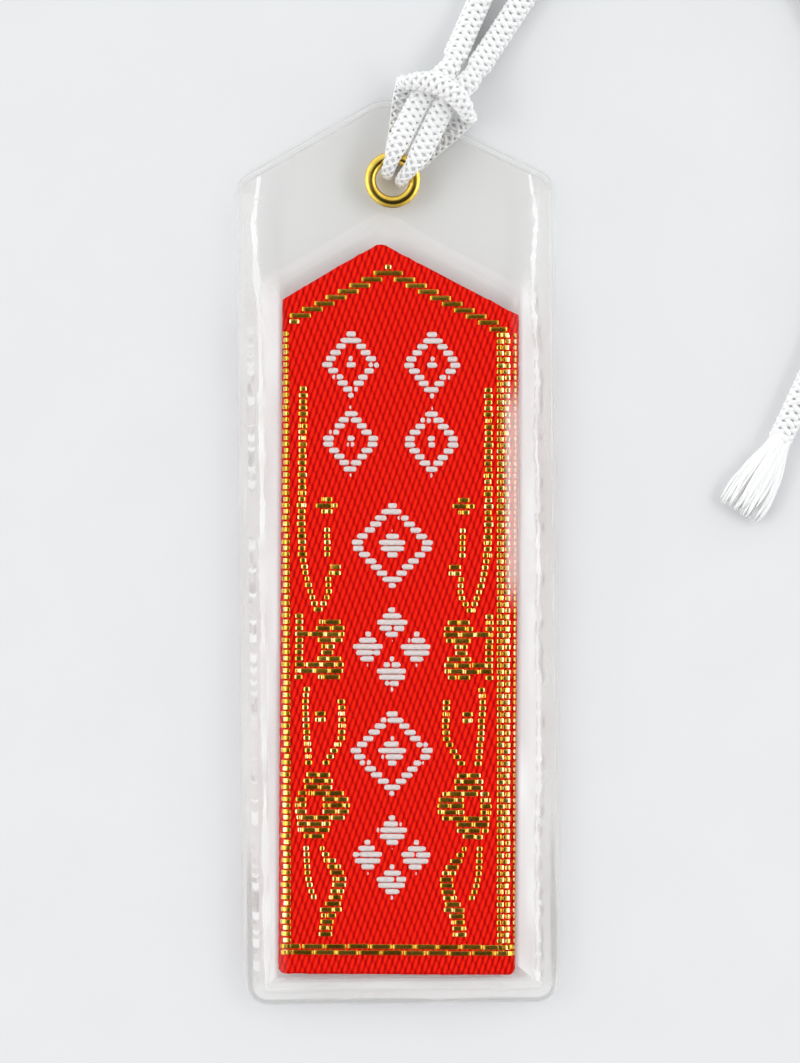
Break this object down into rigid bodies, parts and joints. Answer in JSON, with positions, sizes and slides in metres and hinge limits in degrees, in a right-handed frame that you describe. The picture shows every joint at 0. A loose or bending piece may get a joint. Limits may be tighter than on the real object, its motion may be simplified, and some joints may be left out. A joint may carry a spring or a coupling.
{
  "type": "omamori charm",
  "caption": "Flat charm: a peaked woven strip folded round card, loose in a clear welded sheath, with a brass eyelet and a doubled white braided cord tied in a lark's head hitch.",
  "frame": {"origin": "under the middle of the sheath, on the surface that the charm lies on, face up", "axes": "+Y to the peaked top of the charm, +X to its right seen from the front, +Z out of its front"},
  "size_m": [0.0605, 0.1042, 0.0053],
  "materials": {
    "vinyl": "clear soft vinyl film, glossy, faintly warm",
    "brass": "polished yellow brass",
    "brocade": "red twill ground with gold and white woven floats",
    "card": "uncoated pulp board",
    "paper": "plain folded white paper, blank",
    "cord": "glossy white braid, frayed at its ends"
  },
  "bodies": {
    "sheath": {"sheath_back": "vinyl", "sheath_front": "vinyl", "eyelet_barrel": "brass", "eyelet_washer": "brass"},
    "insert": {"brocade_sleeve": "brocade", "backing_card": "card", "prayer_slip": "paper"},
    "cord": {"cord_hitch": "cord", "cord_tail_left": "cord", "cord_tail_right": "cord", "cord_fray_left": "cord", "cord_fray_right": "cord"}
  },
  "joints": [
    {"name": "cord_swing", "type": "hinge", "parent": "sheath", "child": "cord", "pos_m": [-0.0002, 0.03322, 0.0016], "axis": [0, 0, 1], "range_deg": [-4, 56]},
    {"name": "insert_slide", "type": "slide", "parent": "sheath", "child": "insert", "axis": [0, 1, 0], "range_m": [0, 0.0015]}
  ]
}
